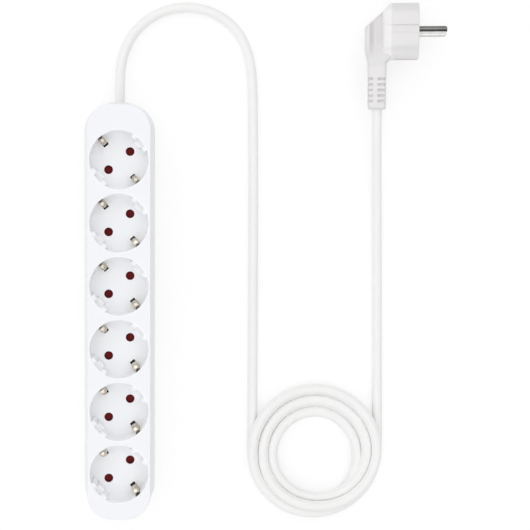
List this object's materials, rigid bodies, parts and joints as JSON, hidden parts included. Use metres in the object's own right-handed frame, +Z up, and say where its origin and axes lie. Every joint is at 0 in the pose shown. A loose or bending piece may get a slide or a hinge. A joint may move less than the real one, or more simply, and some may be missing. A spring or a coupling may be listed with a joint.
{
  "type": "power strip",
  "caption": "Straight earthed power strip with a row of round shuttered sockets turned on a slant, and a lead with an angled earthed plug.",
  "frame": {"origin": "under the middle of the strip, on the surface that its feet stand on", "axes": "+Z up, +Y along the row of sockets towards the end where the lead leaves, +X towards the coil of the lead"},
  "size_m": [0.2502, 0.3605, 0.04],
  "materials": {
    "housing": "fine satin moulded ABS",
    "rubber_foot": "soft rubber",
    "screw_steel": "zinc plated",
    "bushing": "satin",
    "clamp": "natural nylon",
    "brass": "rolled strip",
    "brown_core": "PVC insulation",
    "blue_core": "PVC insulation",
    "green_yellow_core": "PVC insulation",
    "cord": "satin PVC sheath",
    "plug": "satin moulded PVC",
    "pin_nickel": "nickel plated",
    "shutter": "dark red nylon",
    "spring_steel": "drawn wire"
  },
  "bodies": {
    "strip": {"base": "housing", "top_cover": "housing", "rubber_feet": "rubber_foot", "cover_screws": "screw_steel", "cord_bushing": "bushing", "cord_clamp": "clamp", "clamp_screws": "screw_steel", "live_bar": "brass", "neutral_bar": "brass", "earth_bar": "brass", "live_wire": "brown_core", "neutral_wire": "blue_core", "earth_wire": "green_yellow_core", "shutter_plate": "clamp", "cord_to_coil": "cord", "cord_coil": "cord", "cord_to_plug": "cord", "plug_body": "plug", "plug_strain_relief": "plug", "plug_face": "plug", "plug_pin_upper": "pin_nickel", "plug_pin_lower": "pin_nickel", "plug_earth_contacts": "brass", "shutter_spring_1": "spring_steel", "shutter_spring_2": "spring_steel", "shutter_spring_3": "spring_steel", "shutter_spring_4": "spring_steel", "shutter_spring_5": "spring_steel", "shutter_spring_6": "spring_steel"},
    "shutter_1": {"shutter_1": "shutter"},
    "shutter_2": {"shutter_2": "shutter"},
    "shutter_3": {"shutter_3": "shutter"},
    "shutter_4": {"shutter_4": "shutter"},
    "shutter_5": {"shutter_5": "shutter"},
    "shutter_6": {"shutter_6": "shutter"}
  },
  "joints": [
    {"name": "shutter_1_turn", "type": "hinge", "parent": "strip", "child": "shutter_1", "pos_m": [0, 0.102, 0.019], "axis": [0, 0, 1], "range_deg": [0, 42], "stiffness_Nm_per_rad": 0.0005, "springref_deg": -17.19},
    {"name": "shutter_2_turn", "type": "hinge", "parent": "strip", "child": "shutter_2", "pos_m": [0, 0.06, 0.019], "axis": [0, 0, 1], "range_deg": [0, 42], "stiffness_Nm_per_rad": 0.0005, "springref_deg": -17.19},
    {"name": "shutter_3_turn", "type": "hinge", "parent": "strip", "child": "shutter_3", "pos_m": [0, 0.018, 0.019], "axis": [0, 0, 1], "range_deg": [0, 42], "stiffness_Nm_per_rad": 0.0005, "springref_deg": -17.19},
    {"name": "shutter_4_turn", "type": "hinge", "parent": "strip", "child": "shutter_4", "pos_m": [0, -0.024, 0.019], "axis": [0, 0, 1], "range_deg": [0, 42], "stiffness_Nm_per_rad": 0.0005, "springref_deg": -17.19},
    {"name": "shutter_5_turn", "type": "hinge", "parent": "strip", "child": "shutter_5", "pos_m": [0, -0.066, 0.019], "axis": [0, 0, 1], "range_deg": [0, 42], "stiffness_Nm_per_rad": 0.0005, "springref_deg": -17.19},
    {"name": "shutter_6_turn", "type": "hinge", "parent": "strip", "child": "shutter_6", "pos_m": [0, -0.108, 0.019], "axis": [0, 0, 1], "range_deg": [0, 42], "stiffness_Nm_per_rad": 0.0005, "springref_deg": -17.19}
  ]
}
